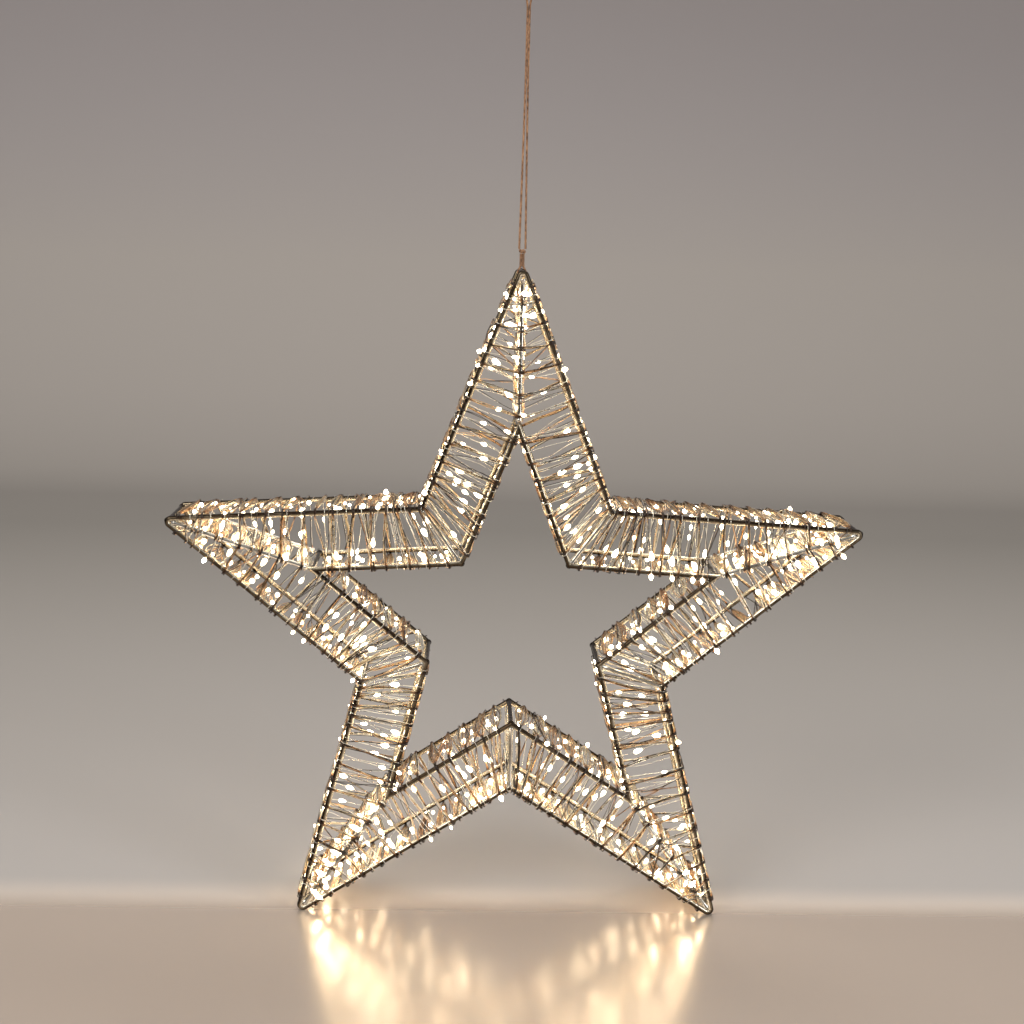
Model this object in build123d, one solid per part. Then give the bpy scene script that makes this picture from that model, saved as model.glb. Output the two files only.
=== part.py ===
from build123d import *
import math
import os

# A hanging star light: a hollow five-armed band of bent round rod, wound with flat bundles of fine wire
# and set with small moulded light beads, on a looped cord. Millimetres, +Z up, the front faces -Y.
# The origin is the point where a hook bears inside the cord's top loop. The star hangs below it.

# Outline of the star, on the axes of the rods
arm_count = 5
tip_radius = 309.0  # star centre to the sharp corner of an outer tip
notch_radius = 133.5  # star centre to an outer notch
band_width = 47.5  # outer rod to inner rod, square to the edge
face_spacing = 66.0  # front rods to back rods
tip_bend_radius = 3.0  # bend of the rod at each outer tip
tip_bend_chords = 4  # a bend is drawn with this many short straight runs
hang_height = 545.0  # star centre to the hook point

# Rods
rod_diameter = 4.5
strut_diameter = 4.0  # struts in the faces and spacers between them
rod_sides = 12  # a rod is drawn with this many flats, its diameter over the ridges
strut_sides = 8

# Wire bundles wound round the band
wire_width = 2.2
wire_thickness = 0.9
wire_clearance = 0.3  # bundle to rod
fold_turn = 45.0  # degrees in each of the two folds that take the bundle round a rod
limb_turns = 8
tip_turns = 7
tip_start_length = 22.0  # sharp tip to the first tip turn, along the rod
tip_end_gap = 9.0  # last tip turn to the foot of the inner tip, along the outer rod
limb_start_outer_gap = 6.0  # foot of the inner tip to the first limb turn, along the outer rod
limb_start_inner_gap = 8.0  # inner tip to the first limb turn, along the inner rod
limb_end_outer_gap = 8.0  # last limb turn to the outer notch
limb_end_inner_gap = 9.0  # last limb turn to the inner notch
gap_samples = 5  # points on each straight stretch when the turns' distance is measured

# Light beads
bead_length = 4.8
bead_width = 3.6
bead_height = 2.4
bead_slope_width = 1.1  # how far each side of a bead leans in towards its crown
runs_per_bead = 3  # one bead on every third stretch of wire between two rods
bead_first_share = 0.22  # beads keep clear of the rods at both ends of their stretch
bead_last_share = 0.78
bead_step_share = 0.618

# Cord, knot and tie
cord_diameter = 1.8
cord_sides = 8
hook_radius = 4.9  # the hook or nail that the top loop fits
arc_share = 0.45  # of the shorter run, taken up by the cord's arc at a corner
tie_clearance = 0.3  # tie loop to the spacer that turns in it
tie_wrap_angle = 25.0  # the tie leaves the spacer this far above its middle
neck_radius = 2.1  # the whipped end of the tie, round both its legs
neck_bottom_height = 4.6  # above the spacer's axis
neck_top_height = 15.0
knot_gap = 0.3
knot_height = 3.4
knot_bottom_radius = 2.2
knot_belly_radius = 3.4
knot_top_radius = 2.5
knot_belly_share = 0.55  # of the knot's height, to its widest part

# Splice sleeve of the light strings, tied to the strut at the bottom notch, on the back
sleeve_diameter = 6.5
sleeve_length = 26.0
gland_radius = 1.5
gland_depth = 12.0
seat_gap = 0.15
tie_band_width = 2.5
tie_band_thickness = 0.9
tie_band_gap = 0.15

# Sizes worked out from those above
arm_step = 360.0 / arm_count
half_step = math.radians(arm_step / 2)
tip_half_angle = math.atan2(
    notch_radius * math.sin(half_step), tip_radius - notch_radius * math.cos(half_step)
)
notch_half_angle = half_step + tip_half_angle
inner_tip_radius = tip_radius - band_width / math.sin(tip_half_angle)
inner_notch_radius = notch_radius - band_width / math.sin(notch_half_angle)
tip_apex_radius = tip_radius - tip_bend_radius * (1 / math.sin(tip_half_angle) - 1)
rod_radius = rod_diameter / 2
strut_radius = strut_diameter / 2
cord_radius = cord_diameter / 2
sleeve_radius = sleeve_diameter / 2
front_y = -face_spacing / 2
back_y = face_spacing / 2
outer_edge_length = notch_radius * math.sin(half_step) / math.sin(tip_half_angle)
inner_edge_length = inner_notch_radius * math.sin(half_step) / math.sin(tip_half_angle)
foot_length = band_width / math.tan(tip_half_angle)  # outer tip to beside the inner tip, along the rod
spacer_z = tip_apex_radius - hang_height  # axis of the top spacer, on which the star swings

arm_names = ["top", "left", "bottom_left", "bottom_right", "right"]
nodes = {}


def in_star(x, y, z):
    """A point given from the star's centre."""
    return Vector(x, y, z - hang_height)


def on_arm(index, shape):
    """The shape, made on the top arm, turned to another arm."""
    turn = Pos(0, 0, -hang_height) * Rot(0, -arm_step * index, 0) * Pos(0, 0, hang_height)
    return turn * shape


def on_every_arm(shape, skip=0):
    return [on_arm(index, shape) for index in range(skip, arm_count)]


def notch_point(radius, y):
    """A notch between the top arm and the next one to the right."""
    return in_star(radius * math.sin(half_step), y, radius * math.cos(half_step))


def section(origin, along, radius, sides):
    """Many-sided cross-section square to a rod, with ridges towards the front and the back."""
    across = Vector(1, 0, 0) if abs(along.Y) > abs(along.X) + abs(along.Z) else Vector(0, 1, 0)
    return Plane(origin=origin, x_dir=across, z_dir=along) * RegularPolygon(radius, sides)


def rod_between(start, end, radius, sides=strut_sides):
    along = end - start
    return extrude(section(start, along, radius, sides), amount=along.length).solid()


def keep(solids):
    """Group of separate solids as one node."""
    parts = [solid for shape in solids for solid in shape.solids()]
    return parts[0] if len(parts) == 1 else Compound(children=parts)


def bent_rod(start, along, radius, centre, axis, degrees, sides):
    """A bend that starts square to the given direction and turns about a line through the centre."""
    return Solid.revolve(section(start, along, radius, sides).face(), degrees, Axis(centre, axis))


# Star rings: one closed rod in each, bent round at the outer tips and mitred at the other corners
def tip_points(radius, bend_radius):
    """The axis of the rod at the top tip, from left to right: a sharp corner, or the points of a bend."""
    if not bend_radius:
        return [Vector(0, 0, radius)]
    centre = radius - bend_radius / math.sin(tip_half_angle)
    chord_turn = (math.pi - 2 * tip_half_angle) / tip_bend_chords
    reach = bend_radius / math.cos(chord_turn / 2)  # the chords' middles touch the true bend
    angles = [chord_turn * (step + 0.5 - tip_bend_chords / 2) for step in range(tip_bend_chords)]
    return [Vector(reach * math.sin(angle), 0, centre + reach * math.cos(angle)) for angle in angles]


def star_ring(tip, notch, y, bend_radius=0.0):
    """Flat faces between one mitred section and the next, all the way round."""
    axis = []
    for index in range(arm_count):
        turned = -arm_step * index
        axis += [point.rotate(Axis.Y, turned) for point in reversed(tip_points(tip, bend_radius))]
        axis.append(Vector(0, 0, notch).rotate(Axis.Y, turned - arm_step / 2))
    flats = [2 * math.pi * side / rod_sides for side in range(rod_sides)]
    sections = []
    for before, here, after in zip(axis[-1:] + axis[:-1], axis, axis[1:] + axis[:1]):
        side_in = (here - before).normalized().cross(Vector(0, 1, 0))
        side_out = (after - here).normalized().cross(Vector(0, 1, 0))
        mitre = (side_in + side_out) / (1 + side_in.dot(side_out))
        corner = in_star(here.X, y, here.Z)
        sections.append(
            [corner + (mitre * math.sin(flat) + Vector(0, math.cos(flat), 0)) * rod_radius for flat in flats]
        )
    faces = [
        Face(Wire.make_polygon(corners))
        for near, far in zip(sections, sections[1:] + sections[:1])
        for corners in zip(near, far, far[1:] + far[:1], near[1:] + near[:1])
    ]
    return Solid(Shell(faces))


nodes["front_outer_star"] = star_ring(tip_radius, notch_radius, front_y, tip_bend_radius)
nodes["back_outer_star"] = star_ring(tip_radius, notch_radius, back_y, tip_bend_radius)
nodes["front_inner_star"] = star_ring(inner_tip_radius, inner_notch_radius, front_y)
nodes["back_inner_star"] = star_ring(inner_tip_radius, inner_notch_radius, back_y)


# Spacers: short rods through the depth at every corner, from the front rod's back to the back rod's front
def spacer(point_at):
    return rod_between(point_at(front_y + rod_radius), point_at(back_y - rod_radius), strut_radius)


outer_tip_spacer = spacer(lambda y: in_star(0, y, tip_apex_radius))
pin_length = face_spacing - rod_diameter
pin_seat = Plane(origin=in_star(0, front_y + rod_radius, tip_apex_radius), z_dir=(0, 1, 0))
nodes["top_tip_spacer"] = keep([Solid.make_cylinder(strut_radius, pin_length, pin_seat)])
nodes["outer_tip_spacers"] = keep(on_every_arm(outer_tip_spacer, skip=1))
nodes["inner_tip_spacers"] = keep(on_every_arm(spacer(lambda y: in_star(0, y, inner_tip_radius))))
nodes["outer_notch_spacers"] = keep(on_every_arm(spacer(lambda y: notch_point(notch_radius, y))))
nodes["inner_notch_spacers"] = keep(on_every_arm(spacer(lambda y: notch_point(inner_notch_radius, y))))

# Struts: rods across the band in both faces. A tip strut stands on the peak of the inner tip, and its far
# rim sits in the fork of the outer tip. A notch strut's rim sits in the fork of the inner notch.
def fork_seat(half_angle):
    """Sharp corner to the end of a strut whose rim rests on both rods."""
    return (rod_radius + strut_radius * math.cos(half_angle)) / math.sin(half_angle)


tip_strut_outer = tip_radius - fork_seat(tip_half_angle)
tip_strut_inner = inner_tip_radius + rod_radius / math.sin(tip_half_angle)
notch_strut_outer = notch_radius - rod_radius / math.sin(notch_half_angle)
notch_strut_inner = inner_notch_radius + fork_seat(notch_half_angle)
for face, y in [("front", front_y), ("back", back_y)]:
    tip_strut = rod_between(in_star(0, y, tip_strut_inner), in_star(0, y, tip_strut_outer), strut_radius)
    notch_strut = rod_between(
        notch_point(notch_strut_inner, y), notch_point(notch_strut_outer, y), strut_radius
    )
    nodes[face + "_tip_struts"] = keep(on_every_arm(tip_strut))
    nodes[face + "_notch_struts"] = keep(on_every_arm(notch_strut))


# Windings: a flat bundle of wire carried round four rods, one unbroken tube. It folds over each rod in
# two bends of an eighth of a turn, and moves on along the rods as it goes round.
class Corner:
    """One of the four rods that a winding goes round."""

    def __init__(self, start, along, out, stations, folds):
        self.start = start  # the sharp corner that stations along the rod are counted from
        self.along = along
        self.out = out
        self.away = Vector(0, math.copysign(1, start.Y), 0)
        self.first, self.last = stations  # of the first and the last turn
        self.folds = folds  # the two fold directions, as angles from out towards away

    def point(self, share, fold, lift, sideways=0.0):
        """A point of the bundle: lift is its height over the rod's axis, sideways is along the rod."""
        station = self.first + (self.last - self.first) * share + sideways
        angle = math.radians(fold)
        reach = lift / math.cos(math.radians(fold_turn / 2))
        return self.start + self.along * station + (
            self.out * math.cos(angle) + self.away * math.sin(angle)
        ) * reach


to_wall = (90 - fold_turn / 2, fold_turn / 2)
to_face = (fold_turn / 2, 90 - fold_turn / 2)
wire_inner_lift = rod_radius + wire_clearance  # the same over the thinner struts, so that the turns lie flat
wire_outer_lift = wire_inner_lift + wire_thickness


def fold_points(corners, turns, lift, sideways):
    """The points of one edge of the bundle, two to a rod, from its first turn to its last."""
    steps = turns * len(corners)
    return [
        corners[step % len(corners)].point(step / steps, fold, lift, sideways)
        for step in range(steps + 1)
        for fold in corners[step % len(corners)].folds
    ]


def wound_wire(corners, turns):
    """The bundle as a closed shell: flat faces, but for its sides on the long stretches, which twist a little."""
    half_width = wire_width / 2
    edges = [
        fold_points(corners, turns, wire_inner_lift, -half_width),
        fold_points(corners, turns, wire_inner_lift, half_width),
        fold_points(corners, turns, wire_outer_lift, half_width),
        fold_points(corners, turns, wire_outer_lift, -half_width),
    ]
    ends = [Face(Wire.make_polygon([edge[end] for edge in edges])) for end in (0, -1)]
    faces = []
    for side, (near, far) in enumerate(zip(edges, edges[1:] + edges[:1])):
        for index in range(len(near) - 1):
            if side % 2 and index % 2:
                lines = [Edge.make_line(edge[index], edge[index + 1]) for edge in (near, far)]
                faces.append(Face.make_surface_from_curves(*lines))
            else:
                corner_points = [near[index], near[index + 1], far[index + 1], far[index]]
                faces.append(Face(Wire.make_polygon(corner_points)))
    return Solid(Shell(ends + faces))


def edge_points(corners, turns, sideways):
    """Points along one edge of the bundle, several on each stretch."""
    folds = fold_points(corners, turns, wire_inner_lift, sideways)
    return [
        start + (end - start) * (count / gap_samples)
        for start, end in zip(folds, folds[1:])
        for count in range(gap_samples)
    ]


def least_gap(corners, turns):
    """Smallest distance from one edge of the bundle to its other edge half a turn or more later."""
    near_edge, far_edge = (edge_points(corners, turns, side * wire_width / 2) for side in (1, -1))
    half_turn = len(corners) * gap_samples
    return min(
        (point - other).length
        for index, point in enumerate(near_edge)
        for other in far_edge[index + half_turn :]
    )


def gap_between(one_corners, other_corners, turns):
    """Smallest distance between the edges of two bundles that share a rod."""
    one, other = (
        [point for side in (1, -1) for point in edge_points(corners, turns, side * wire_width / 2)]
        for corners in (one_corners, other_corners)
    )
    return min((point - near).length for point in one for near in other)


def light_beads(corners, turns):
    """Moulded drops, each with its flat underside on the outer face of the bundle."""
    steps = turns * len(corners)
    beads = []
    for count, step in enumerate(range(1, steps, runs_per_bead)):
        here = corners[step % len(corners)]
        there = corners[(step + 1) % len(corners)]
        start = here.point(step / steps, here.folds[1], wire_outer_lift)
        end = there.point((step + 1) / steps, there.folds[0], wire_outer_lift)
        spread = count * bead_step_share % 1
        share = bead_first_share + (bead_last_share - bead_first_share) * spread
        outward = here.out if here.folds == to_wall else here.away
        run = (end - start).normalized()
        seat = Plane(origin=start + (end - start) * share, x_dir=run, z_dir=run.cross(outward))
        crown_length = bead_length - bead_slope_width
        crown_width = bead_width - bead_slope_width
        drop = Solid.make_wedge(
            bead_length, bead_height, bead_width,
            bead_slope_width, bead_slope_width, crown_length, crown_width,
        )
        beads.append(seat * Pos(-bead_length / 2, 0, -bead_width / 2) * drop)
    return beads


def edge_corners(tip, side, out, stations, to_back):
    """The front and the back rod of one edge of an arm, in the order that the wire meets them."""
    along = Vector(side * math.sin(tip_half_angle), 0, -math.cos(tip_half_angle))
    outward = Vector(side * math.cos(tip_half_angle), 0, math.sin(tip_half_angle)) * out
    front = Corner(in_star(0, front_y, tip), along, outward, stations, to_wall)
    back = Corner(in_star(0, back_y, tip), along, outward, stations, to_face)
    if to_back:
        return [front, back]
    front.folds, back.folds = to_face, to_wall
    return [back, front]


def limb_corners(side):
    """Outer and inner rods of one limb, from beside the inner tip to the notch."""
    outer = (foot_length + limb_start_outer_gap, outer_edge_length - limb_end_outer_gap)
    inner = (limb_start_inner_gap, inner_edge_length - limb_end_inner_gap)
    return edge_corners(tip_radius, side, 1, outer, True) + edge_corners(
        inner_tip_radius, side, -1, inner, False
    )


def tip_corners(side):
    """Outer rods of half an arm outside its inner tip, and the tip struts down its middle."""
    outer = (tip_start_length, foot_length - tip_end_gap)
    middle = [station / math.cos(tip_half_angle) for station in outer]
    down = Vector(0, 0, -1)
    outward = Vector(-side, 0, 0)
    struts = [
        Corner(in_star(0, back_y, tip_radius), down, outward, middle, to_wall),
        Corner(in_star(0, front_y, tip_radius), down, outward, middle, to_face),
    ]
    corners = edge_corners(tip_radius, side, 1, outer, True) + struts
    if side > 0:
        corners = corners[2:] + corners[:2]  # half a turn on, so that the halves' turns pass on the strut
    return corners


windings = [
    ("tip", [tip_corners(-1), tip_corners(1)], tip_turns),
    ("left_limb", [limb_corners(-1)], limb_turns),
    ("right_limb", [limb_corners(1)], limb_turns),
]
for place, routes, turns in windings:
    bundles = [wound_wire(corners, turns) for corners in routes]
    beads = [bead for corners in routes for bead in light_beads(corners, turns)]
    gaps = [least_gap(corners, turns) for corners in routes]
    if len(routes) == 2:
        gaps.append(gap_between(*routes, turns))
    print(place, "winding: least gaps between turns", [round(gap, 2) for gap in gaps], "mm")
    for index, arm_name in enumerate(arm_names):
        nodes[f"{arm_name}_{place}_winding"] = keep([on_arm(index, bundle) for bundle in bundles])
        nodes[f"{arm_name}_{place}_lights"] = keep([on_arm(index, bead) for bead in beads])

# Hanging cord: one loop from the knot, over the hook and back. Points across X and up Z.
knot_bottom = spacer_z + neck_top_height + knot_gap
knot_top = knot_bottom + knot_height
strand_route = [
    (-2.1, knot_top),
    (-1.3, -104.0),
    (-1.3, -26.0),
    (-5.9, -14.0),
    (-5.9, 0.9),
    (5.9, 0.9),
    (5.9, -14.0),
    (1.3, -26.0),
    (1.3, -104.0),
    (2.1, knot_top),
]
hook_corners = (4, 5)  # where the cord bends over the hook


def corner_radii(points):
    """Arc radius at each corner, as large as its two runs allow, or the hook's size."""
    radii = []
    for index in range(1, len(points) - 1):
        run_in = points[index] - points[index - 1]
        run_out = points[index + 1] - points[index]
        half_turn = math.radians(run_in.get_angle(run_out)) / 2
        radius = arc_share * min(run_in.length, run_out.length) / math.tan(half_turn)
        radii.append(hook_radius + cord_radius if index in hook_corners else radius)
    return radii


points = [Vector(x, 0, z) for x, z in strand_route]
radii = corner_radii(points)
print("cord arc radii, mm:", [round(radius, 1) for radius in radii])
route = FilletPolyline(*points, radius=radii)


def tube_along(path, radius):
    """Tube with straight runs and true bends, which meet face to face and are joined."""
    runs = []
    for edge in path.edges():
        if edge.geom_type == GeomType.LINE:
            runs.append(rod_between(edge @ 0, edge @ 1, radius, cord_sides))
        else:
            start, middle, end = edge @ 0, edge @ 0.5, edge @ 1
            axis = (middle - start).cross(end - middle)
            degrees = edge.length / edge.radius * 180 / math.pi
            runs.append(bent_rod(start, edge % 0, radius, edge.arc_center, axis, degrees, cord_sides))
    return runs[0].fuse(*runs[1:])


cord = tube_along(route, cord_radius)
section_area = section(route @ 0, route % 0, cord_radius, cord_sides).area
print("cord length", round(route.length, 1), "mm")
print("cord volume over section times length:", round(cord.volume / (section_area * route.length), 4))
nodes["hanging_cord"] = keep([cord])

knot_outline = make_face(
    Polyline(
        (0, knot_bottom),
        (knot_bottom_radius, knot_bottom),
        (knot_belly_radius, knot_bottom + knot_height * knot_belly_share),
        (knot_top_radius, knot_top),
        (0, knot_top),
        close=True,
    )
)
nodes["cord_knot"] = keep([revolve(Plane.XZ * knot_outline, Axis.Z)])

# Tie: the cord's lower end carried round the top spacer and whipped into a neck
loop_radius = strut_radius + tie_clearance + cord_radius
wrap = math.radians(tie_wrap_angle)
leave_x = loop_radius * math.cos(wrap)
leave_z = spacer_z + loop_radius * math.sin(wrap)
rise = neck_bottom_height + cord_radius - loop_radius * math.sin(wrap)
meet_x = leave_x - rise * math.tan(wrap)
meet_z = leave_z + rise
left_leg = Line((-meet_x, 0, meet_z), (-leave_x, 0, leave_z))
under = ThreePointArc(left_leg @ 1, (0, 0, spacer_z - loop_radius), (leave_x, 0, leave_z))
right_leg = Line(under @ 1, (meet_x, 0, meet_z))
tie_loop = tube_along(Wire([left_leg, under, right_leg]), cord_radius)
neck_bottom = Vector(0, 0, spacer_z + neck_bottom_height)
neck_top = Vector(0, 0, spacer_z + neck_top_height)
neck = rod_between(neck_bottom, neck_top, neck_radius)
nodes["tie_loop"] = keep([tie_loop.fuse(neck)])

# Splice sleeve: the light strings end in it, and a supply lead enters its gland from below
bottom_strut_middle = -(inner_notch_radius + notch_radius) / 2
sleeve_y = back_y + strut_radius + seat_gap + sleeve_radius
sleeve_bottom = bottom_strut_middle - sleeve_length / 2
sleeve = Solid.make_cylinder(
    sleeve_radius, sleeve_length, Plane(origin=in_star(0, sleeve_y, sleeve_bottom), z_dir=(0, 0, 1))
)
sleeve = sleeve - Solid.make_cylinder(
    gland_radius, gland_depth, Plane(origin=in_star(0, sleeve_y, sleeve_bottom), z_dir=(0, 0, 1))
)
nodes["splice_sleeve"] = keep([sleeve])


def band_outline(margin):
    """Outline that wraps the strut and the sleeve: two round ends and the straight sides between."""
    strut_end = Pos(0, back_y) * Circle(strut_radius + margin)
    sleeve_end = Pos(0, sleeve_y) * Circle(sleeve_radius + margin)
    return make_hull((strut_end + sleeve_end).edges())


ring = band_outline(tie_band_gap + tie_band_thickness) - band_outline(tie_band_gap)
band = extrude(Plane(origin=in_star(0, 0, bottom_strut_middle)) * ring, amount=tie_band_width / 2, both=True)
nodes["sleeve_tie"] = keep([band])

os.makedirs("parts", exist_ok=True)
for name, shape in nodes.items():
    export_step(shape, f"parts/{name}.step")
print(len(nodes), "nodes")
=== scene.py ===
import math

import bpy
import numpy as np
from mathutils import Matrix, Vector


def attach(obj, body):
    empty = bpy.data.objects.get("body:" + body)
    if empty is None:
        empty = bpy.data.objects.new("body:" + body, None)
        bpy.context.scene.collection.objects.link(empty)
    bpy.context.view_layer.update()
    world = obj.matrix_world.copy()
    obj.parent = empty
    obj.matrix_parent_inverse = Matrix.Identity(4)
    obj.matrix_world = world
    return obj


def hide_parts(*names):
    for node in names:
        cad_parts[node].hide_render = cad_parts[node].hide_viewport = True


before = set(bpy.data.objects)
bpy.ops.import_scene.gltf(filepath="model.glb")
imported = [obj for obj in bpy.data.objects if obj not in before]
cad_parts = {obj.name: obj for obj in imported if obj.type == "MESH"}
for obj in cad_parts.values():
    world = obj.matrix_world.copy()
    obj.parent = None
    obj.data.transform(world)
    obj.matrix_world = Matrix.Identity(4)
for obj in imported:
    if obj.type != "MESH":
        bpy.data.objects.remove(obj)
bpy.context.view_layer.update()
rng = np.random.default_rng(11)

star = {  # outline on the axes of the rods, in metres, as in the CAD source
    "hangHeight": 0.545,
    "tipRadius": 0.309,
    "notchRadius": 0.1335,
    "bandWidth": 0.0475,
    "frontY": -0.033,
    "backY": 0.033,
    "arms": ["top", "left", "bottom_left", "bottom_right", "right"],
}
halfStep = math.pi / len(star["arms"])
tipHalf = math.atan2(
    star["notchRadius"] * math.sin(halfStep),
    star["tipRadius"] - star["notchRadius"] * math.cos(halfStep),
)
innerTip = star["tipRadius"] - star["bandWidth"] / math.sin(tipHalf)
innerNotch = star["notchRadius"] - star["bandWidth"] / math.sin(halfStep + tipHalf)
footLength = star["bandWidth"] / math.tan(tipHalf)  # outer tip to beside the inner tip, along the rod
allArms = range(len(star["arms"]))


camera = {  # angles in degrees, lens and sensor in millimetres
    "place": (-0.0444, -1.2650, -0.2132),
    "pitchDown": 10.33,
    "yaw": 1.88,
    "roll": 1.5,
    "lens": 52.95,
    "sensor": 36.0,
}


def makeCamera():
    # Looks along (sin yaw cos pitch, cos yaw cos pitch, -sin pitch), rolled about that line.
    pitch, yaw, roll = (math.radians(camera[key]) for key in ("pitchDown", "yaw", "roll"))
    forward = Vector((math.sin(yaw) * math.cos(pitch), math.cos(yaw) * math.cos(pitch), -math.sin(pitch)))
    right = Vector((math.cos(yaw), -math.sin(yaw), 0))
    up = right.cross(forward)
    turned = right * math.cos(roll) + up * math.sin(roll)
    raised = up * math.cos(roll) - right * math.sin(roll)
    data = bpy.data.cameras.new("camera")
    data.lens = camera["lens"]
    data.sensor_width = camera["sensor"]
    obj = bpy.data.objects.new("camera", data)
    bpy.context.scene.collection.objects.link(obj)
    matrix = Matrix((turned, raised, -forward)).transposed().to_4x4()
    matrix.translation = Vector(camera["place"])
    obj.matrix_world = matrix
    bpy.context.scene.camera = obj


makeCamera()
print("camera set")


def addPiece(name, points, corners, sizes, material, tone=None):
    # A smooth mesh from whole arrays: vertices, the corners of all faces in a row, and how many each face
    # has. The tone of each vertex becomes an attribute that the materials read.
    mesh = bpy.data.meshes.new(name)
    mesh.vertices.add(len(points))
    mesh.vertices.foreach_set("co", np.ascontiguousarray(points, dtype=np.float32).ravel())
    mesh.loops.add(len(corners))
    mesh.loops.foreach_set("vertex_index", np.ascontiguousarray(corners, dtype=np.int32))
    mesh.polygons.add(len(sizes))
    starts = np.concatenate([[0], np.cumsum(sizes)[:-1]]).astype(np.int32)
    mesh.polygons.foreach_set("loop_start", starts)
    mesh.polygons.foreach_set("use_smooth", np.full(len(sizes), True))
    mesh.update(calc_edges=True)
    mesh.validate()
    if tone is not None:
        layer = mesh.attributes.new("tone", "FLOAT", "POINT")
        layer.data.foreach_set("value", np.ascontiguousarray(tone, dtype=np.float32))
    mesh.materials.append(material)
    obj = bpy.data.objects.new(name, mesh)
    bpy.context.scene.collection.objects.link(obj)
    return obj


def unit(vectors):
    # Each vector divided by its length.
    return vectors / np.linalg.norm(vectors, axis=-1, keepdims=True)


def tubes(paths, radius, side, sides=8, closed=False, mitred=False):
    # Round tubes along many paths: path + radius (cos a side + sin a (tangent x side)), ends capped.
    # Where a closed path turns sharply, the second part is longer by 1 / cos(half the turn), as in a mitre.
    paths = np.asarray(paths, float)
    count, steps, _ = paths.shape
    if closed:
        tangent = unit(np.roll(paths, -1, 1) - np.roll(paths, 1, 1))
    else:
        tangent = unit(np.gradient(paths, axis=1))
    side = np.broadcast_to(np.asarray(side, float), paths.shape)
    side = unit(side - (side * tangent).sum(-1, keepdims=True) * tangent)
    other = np.cross(tangent, side)
    if mitred:
        ahead = unit(np.roll(paths, -1, 1) - paths)
        behind = unit(paths - np.roll(paths, 1, 1))
        tangent = unit(ahead + behind)
        other = np.cross(tangent, side) / (tangent * ahead).sum(-1, keepdims=True)
    angle = np.linspace(0, 2 * math.pi, sides, endpoint=False)[:, None]
    ring = np.cos(angle) * side[:, :, None, :] + np.sin(angle) * other[:, :, None, :]
    radius = np.broadcast_to(np.asarray(radius, float), (count, steps))
    points = paths[:, :, None, :] + radius[:, :, None, None] * ring
    rows = steps if closed else steps - 1
    tube = np.arange(count)[:, None, None] * steps * sides
    row = np.arange(rows)[None, :, None]
    turn = np.arange(sides)[None, None, :]
    after = (row + 1) % steps
    quads = np.stack(
        [
            tube + row * sides + turn,
            tube + row * sides + (turn + 1) % sides,
            tube + after * sides + (turn + 1) % sides,
            tube + after * sides + turn,
        ],
        axis=-1,
    ).reshape(-1, 4)
    corners, sizes = quads.ravel(), np.full(len(quads), 4)
    if not closed:
        first = (np.arange(count)[:, None] * steps * sides + np.arange(sides)[None, ::-1]).ravel()
        last = (np.arange(count)[:, None] * steps * sides + (steps - 1) * sides + np.arange(sides)).ravel()
        corners = np.concatenate([corners, first, last])
        sizes = np.concatenate([sizes, np.full(2 * count, sides)])
    return points.reshape(-1, 3), corners, sizes


def joined(*shapes):
    # Several (points, corners, sizes) as one.
    points, corners, sizes, shift = [], [], [], 0
    for shape in shapes:
        points.append(shape[0])
        corners.append(shape[1] + shift)
        sizes.append(shape[2])
        shift += len(shape[0])
    return np.concatenate(points), np.concatenate(corners), np.concatenate(sizes)


def onArm(points, index):
    # Points given from the star's centre on the top arm, turned to another arm, in the shared frame.
    angle = 2 * halfStep * index
    x, y, z = np.moveaxis(np.asarray(points, float), -1, 0)
    turnedX = x * math.cos(angle) - z * math.sin(angle)
    turnedZ = x * math.sin(angle) + z * math.cos(angle)
    return np.stack([turnedX, y, turnedZ - star["hangHeight"]], axis=-1)


def newMaterial(name):
    # A material with its node tree and its Principled shader.
    material = bpy.data.materials.new(name)
    material.use_nodes = True
    nodes = material.node_tree.nodes
    shader = nodes["Principled BSDF"]
    return material, nodes, material.node_tree.links, shader


def noise(nodes, links, scale, detail=3.0, stretch=(1, 1, 1)):
    # Fractal noise at the Object coordinates times stretch and scale.
    place = nodes.new("ShaderNodeTexCoord")
    mapping = nodes.new("ShaderNodeMapping")
    mapping.inputs["Scale"].default_value = stretch
    texture = nodes.new("ShaderNodeTexNoise")
    texture.inputs["Scale"].default_value = scale
    texture.inputs["Detail"].default_value = detail
    links.new(place.outputs["Object"], mapping.inputs["Vector"])
    links.new(mapping.outputs["Vector"], texture.inputs["Vector"])
    return texture.outputs["Fac"]


def ramp(nodes, links, value, stops):
    # Colours, or single values, at stops along a value.
    node = nodes.new("ShaderNodeValToRGB")
    elements = node.color_ramp.elements
    while len(elements) < len(stops):
        elements.new(0.5)
    for element, (position, color) in zip(elements, stops):
        element.position = position
        element.color = (*color, 1.0) if isinstance(color, tuple) else (color, color, color, 1.0)
    links.new(value, node.inputs["Fac"])
    return node.outputs["Color"]


def bump(nodes, links, shader, height, strength, distance):
    # Lets a height value tilt the shader's normal.
    node = nodes.new("ShaderNodeBump")
    node.inputs["Strength"].default_value = strength
    node.inputs["Distance"].default_value = distance
    links.new(height, node.inputs["Height"])
    links.new(node.outputs["Normal"], shader.inputs["Normal"])


def toneOf(nodes):
    # The tone attribute that addPiece writes.
    tone = nodes.new("ShaderNodeAttribute")
    tone.attribute_name = "tone"
    return tone.outputs["Fac"]


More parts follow.
